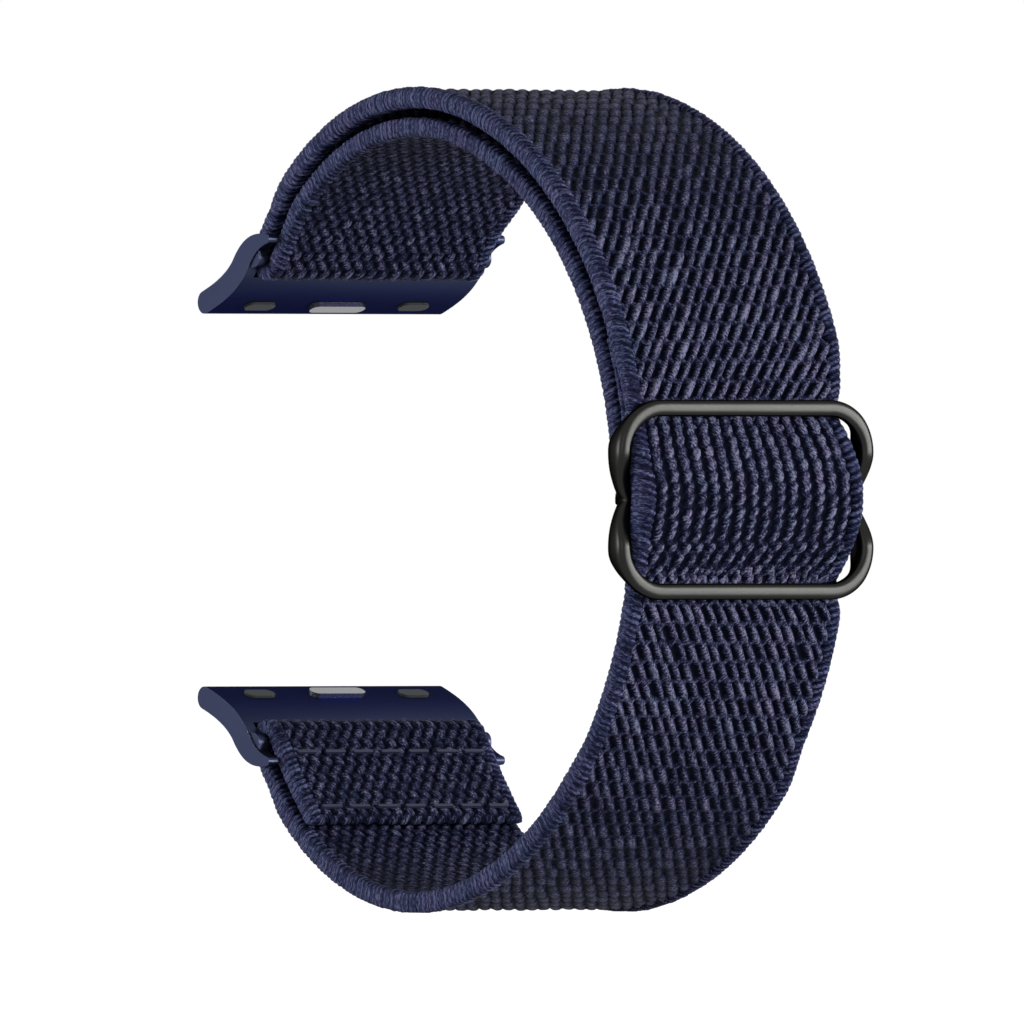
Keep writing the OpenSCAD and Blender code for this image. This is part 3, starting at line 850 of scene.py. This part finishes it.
def lugBody(name, below):
    body = prism(name, [barCentre + p for p in lugSection()], -lug["half"], lug["half"])
    inside, (y, z) = lug["cheekIn"], barCentre
    left, right, floor, top = y - lug["openHalf"], y + lug["openHalf"], z + lug["wallTop"], z + lug["openTop"]
    swells = [prism("swell", swellOutline(), *sorted((hand * lug["swellFrom"], hand * lug["swellTo"])))
              for hand in (-1, 1)]
    cutters = [
        prism("cutBar", discRound(lug["barHole"]), -inside - lug["barBlind"], lug["half"] + 0.5),
        prism("cutPocket", discRound(lug["pocketRadius"]), -inside, inside),
        prism("cutOpening", [(left, floor), (right, floor), (right, top), (left, top)], -inside, inside),
        lockBlock("cutCavity", lug["cavityHalf"], -lug["faceOut"], lug["cavityTop"], lug["cavityLong"]),
        lockOval("cutSlot", 0, lug["catchSlot"], 0, lug["faceOut"]),
        lockOval("cutPadA", lug["padAt"], lug["padSlot"], lug["cavityTop"], lug["faceOut"]),
        lockOval("cutPadB", -lug["padAt"], lug["padSlot"], lug["cavityTop"], lug["faceOut"]),
    ]
    combine(body, "UNION", swells)
    combine(body, "DIFFERENCE", cutters)
    settled(body, cutters + swells)
    edge = body.modifiers.new("edge", "BEVEL")
    edge.width, edge.segments = lug["edge"] * mm, lug["edgeSegments"]
    edge.limit_method, edge.angle_limit = "ANGLE", math.radians(lug["edgeAngle"])
    edge.harden_normals = True
    # The bevels take the lighter edge material, a painted highlight along the edges
    edge.material = 1
    smoothed(body)
    body.data.materials.append(anodisedMaterial)
    body.data.materials.append(edgeHighlightMaterial)
    settled(body)
    if below:
        mirroredBelow(body)
    return body


for half in ("upper", "lower"):
    body = lugBody(half + "_lug_shell", half == "lower")
    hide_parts(half + "_lug")
    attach(body, half + "_lug_body")
    print(half, "lug:", len(body.data.polygons), "faces")


# Leaf springs: a bowed strip under each catch, drawn in its free bow; it flattens on the lock cover as the catch
# goes in
leaf = {"span": 6.2, "halfWidth": 0.7, "thick": 0.12, "foot": -0.69, "rise": 0.78, "steps": 32, "pressed": 0.5}


def leafSpring(name, below):
    section = ((-1, 0), (1, 0), (1, leaf["thick"]), (-1, leaf["thick"]))
    rows = []
    for i in range(leaf["steps"] + 1):
        x = leaf["span"] * (i / leaf["steps"] - 0.5)
        bow = leaf["foot"] + leaf["rise"] * math.sin(math.pi * i / leaf["steps"])
        rows.append([(x, *(lockCentre + along * leaf["halfWidth"] * lockDir + (bow + out) * lockOut))
                     for along, out in section])
    strip = loft(name, rows)
    strip.data.materials.append(steelMaterial)
    if below:
        mirroredBelow(strip)
    return strip


for half in ("upper", "lower"):
    strip = leafSpring(half + "_leaf_spring", half == "lower")
    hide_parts(half + "_lock_spring")
    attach(strip, half + "_lug_body")
    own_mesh(strip)
print("leaf springs done")


# CAD nodes that stay as they are, with better finishes
finishes = {
    "buckle_bar": steelMaterial, "fold_stitches": threadMaterial,
    "strap_bar": steelMaterial, "lock_catch": steelMaterial,
    "lock_cover": anodisedMaterial, "lug_pads": rubberMaterial,
}
for nodeName, node in nodes.items():
    for key, material in finishes.items():
        if nodeName.endswith(key):
            node.data.materials.clear()
            node.data.materials.append(material)


# Slide buckle: a bent bar of full rounded section, drawn on the CAD frame's outline and a little askew on the
# band. front, sideBack and barBack are places in depth; the front sinks by waistDrop where the band crosses
buckle = {
    "halfWidth": 14.0, "halfHeight": 9.1, "cornerRadius": 4.75, "pinch": 1.4, "bar": 1.5, "window": 12.0,
    "front": -38.05, "sideBack": -35.6, "barBack": -36.95, "deepFrom": 52, "deepOver": 46, "waistDrop": 1.2,
    "skew": 1.4, "aside": -0.08, "fullness": 3.3, "around": 40, "barSteps": 9, "bendSteps": 25,
    "legHalf": 0.5, "legOut": 12.32, "legSink": 0.9, "legEnd": 0.5, "legEndHalf": 0.3, "legSlope": 0.2,
}


def buckleStations():
    # Outer edge, inner edge and depth of the bar, for one quarter from the middle of the top to the waist
    height, corner, bar = buckle["halfHeight"], buckle["cornerRadius"], buckle["bar"]
    straight, lobeMid = buckle["halfWidth"] - corner, height - corner
    along = np.linspace(0, straight, buckle["barSteps"])[:-1]
    stations = [((x, height), (x, height - bar), 0.0) for x in along]
    for a in np.linspace(90, 0, buckle["bendSteps"]):
        outer, inner = (polar((straight, lobeMid), radius, a) for radius in (corner, corner - bar))
        stations.append((outer, inner, np.clip((buckle["deepFrom"] - a) / buckle["deepOver"], 0, 1)))
    sideRadius = (lobeMid ** 2 + buckle["pinch"] ** 2) / (2 * buckle["pinch"])
    centre = (buckle["halfWidth"] - sideRadius, lobeMid)
    last, straightFrom = math.degrees(math.asin(lobeMid / sideRadius)), None
    for a in np.linspace(0, last, buckle["bendSteps"])[1:]:
        outer, inner = polar(centre, sideRadius, -a), polar(centre, sideRadius - bar, -a)
        # From where the inner edge meets the window's side it runs on straight
        if inner[0] < buckle["window"]:
            straightFrom = straightFrom or (a, inner[1])
            inner = (buckle["window"], straightFrom[1] * (last - a) / max(last - straightFrom[0], 1e-6))
        stations.append((outer, inner, 1.0))
    return stations


def buckleFrame():
    quarter = buckleStations()
    loop = quarter + [((o[0], -o[1]), (i[0], -i[1]), b) for o, i, b in quarter[-2::-1]]
    loop += [((-o[0], o[1]), (-i[0], i[1]), b) for o, i, b in loop[-2:0:-1]]
    skew, curve = math.radians(buckle["skew"]), buckle["fullness"]
    turnY = (buckle["front"] + buckle["sideBack"]) / 2
    waistReach = buckle["halfHeight"] - buckle["cornerRadius"]
    rows = []
    for outer, inner, sideShare in loop:
        outer, inner = np.array(outer), np.array(inner)
        back = buckle["barBack"] + (buckle["sideBack"] - buckle["barBack"]) * eased(sideShare)
        front = buckle["front"] + buckle["waistDrop"] * eased(max(0, 1 - abs(outer[1]) / waistReach))
        middle, half, deep = (outer + inner) / 2, (outer - inner) / 2, (back - front) / 2
        row = []
        for k in range(buckle["around"]):
            a = 2 * math.pi * k / buckle["around"]
            c, s = math.cos(a), math.sin(a)
            reach = (abs(c) ** curve + abs(s) ** curve) ** (-1 / curve)
            x, z = middle + half * c * reach
            fromAxis = front + deep + deep * s * reach - turnY
            row.append((buckle["aside"] + x * math.cos(skew) + fromAxis * math.sin(skew),
                        turnY + fromAxis * math.cos(skew) - x * math.sin(skew), z))
        rows.append(row)
    body = loft("slide_buckle_frame", rows, closed=True)
    # The legs behind the waist that carry the middle bar
    half, tip, slope = buckle["legHalf"], buckle["legEndHalf"], tail["barY"] + buckle["legSlope"]
    root, end = buckle["sideBack"] - buckle["legSink"], tail["barY"] + buckle["legEnd"]
    outline = [(end, -tip), (end, tip), (slope, half), (root, half), (root, -half), (slope, -half)]
    for hand in (-1, 1):
        leg = prism("leg", outline, *sorted((hand * buckle["window"], hand * buckle["legOut"])))
        combine(body, "UNION", [leg])
        settled(body, [leg])
    smoothed(body)
    body.data.materials.append(gunmetalMaterial)
    return body


buckleBody = buckleFrame()
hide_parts("buckle_frame")
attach(buckleBody, "slide_buckle")
print("slide buckle:", len(buckleBody.data.polygons), "faces")


# Camera: level, on the wrist side of the lugs, looking past them to the buckle; sizes in metres
shot = {
    "distance": 4.0, "look": (0.5693, 0.8221, 0.0), "side": 0.000055, "height": -0.0011, "span": 0.09394,
    "sensor": 36, "clipFrom": 0.1, "clipTo": 60,
}
look = Vector(shot["look"]).normalized()
sideways = Vector((look.y, -look.x, 0))
lens = bpy.data.cameras.new("camera")
lens.sensor_width = shot["sensor"]
lens.lens = shot["sensor"] * shot["distance"] / shot["span"]
lens.clip_start, lens.clip_end = shot["clipFrom"], shot["clipTo"]
camera = linked("camera", lens)
camera.location = -shot["distance"] * look + shot["side"] * sideways + Vector((0, 0, shot["height"]))
camera.rotation_euler = look.to_track_quat("-Z", "Y").to_euler()
scene.camera = camera


# Floor and white surround: white to the eye, dimmer as light on the part
studio = {
    "floorHalf": 8, "floorHeight": -0.0378, "floorGlow": 1.27, "glowShare": 0.8, "fill": 0.1, "plain": 1.0,
}


def seenShare(tree):
    # 1 for rays from the camera, straight, mirrored or through glass, and 0 for light that falls on the part
    rays = addNode(tree, "LightPath")
    seen = addNode(tree, "Math", {"operation": "MAXIMUM"},
                   {0: (rays, "Is Camera Ray"), 1: (rays, "Is Glossy Ray")})
    return addNode(tree, "Math", {"operation": "MAXIMUM"}, {0: (seen, 0), 1: (rays, "Is Transmission Ray")})


reach, level = studio["floorHalf"], studio["floorHeight"]
ground = bpy.data.meshes.new("floor")
corners = [(-reach, -reach, level), (reach, -reach, level), (reach, reach, level), (-reach, reach, level)]
ground.from_pydata(corners, [], [(0, 1, 2, 3)])
floor = linked("floor", ground)
floorMaterial, tree = newMaterial("paleStudioFloor")
share = addNode(tree, "Math", {"operation": "MULTIPLY", 1: studio["glowShare"]}, {0: (seenShare(tree), 0)})
matt = addNode(tree, "BsdfDiffuse", {"Color": linear("#f4f4f4")})
white = addNode(tree, "Emission", {"Color": (1, 1, 1, 1), "Strength": studio["floorGlow"]})
both = addNode(tree, "MixShader", None, {0: (share, 0), 1: (matt, 0), 2: (white, 0)})
addNode(tree, "OutputMaterial", None, {"Surface": (both, 0)})
ground.materials.append(floorMaterial)

world = bpy.data.worlds.new("studio")
scene.world = world
world.use_nodes = True
tree = world.node_tree
tree.nodes.clear()
fill = addNode(tree, "Background", {"Color": (1, 1, 1, 1), "Strength": studio["fill"]})
plain = addNode(tree, "Background", {"Color": (1, 1, 1, 1), "Strength": studio["plain"]})
both = addNode(tree, "MixShader", None, {0: (seenShare(tree), 0), 1: (fill, 0), 2: (plain, 0)})
addNode(tree, "OutputWorld", None, {"Surface": (both, 0)})


def softbox(name, place, wide, high, watts):
    lamp = bpy.data.lights.new(name, "AREA")
    lamp.shape, lamp.size, lamp.size_y, lamp.energy = "RECTANGLE", wide, high, watts
    box = linked(name, lamp)
    box.location = place
    box.rotation_euler = (-Vector(place)).to_track_quat("-Z", "Y").to_euler()


# A key lamp from the buckle's side lights the strands' tops and leaves the gaps dark, a second lights the band's
# edge and the lugs, and a weak one the faces towards the camera
softbox("keyBox", (0.50, -0.62, 0.00), 0.34, 0.28, 8.4)
softbox("edgeBox", (-0.72, 0.30, 0.06), 0.34, 0.34, 4.0)
softbox("frontBox", (-0.46, -0.58, 0.10), 0.50, 0.40, 0.7)

scene.view_settings.view_transform = "Standard"
bpy.context.view_layer.update()
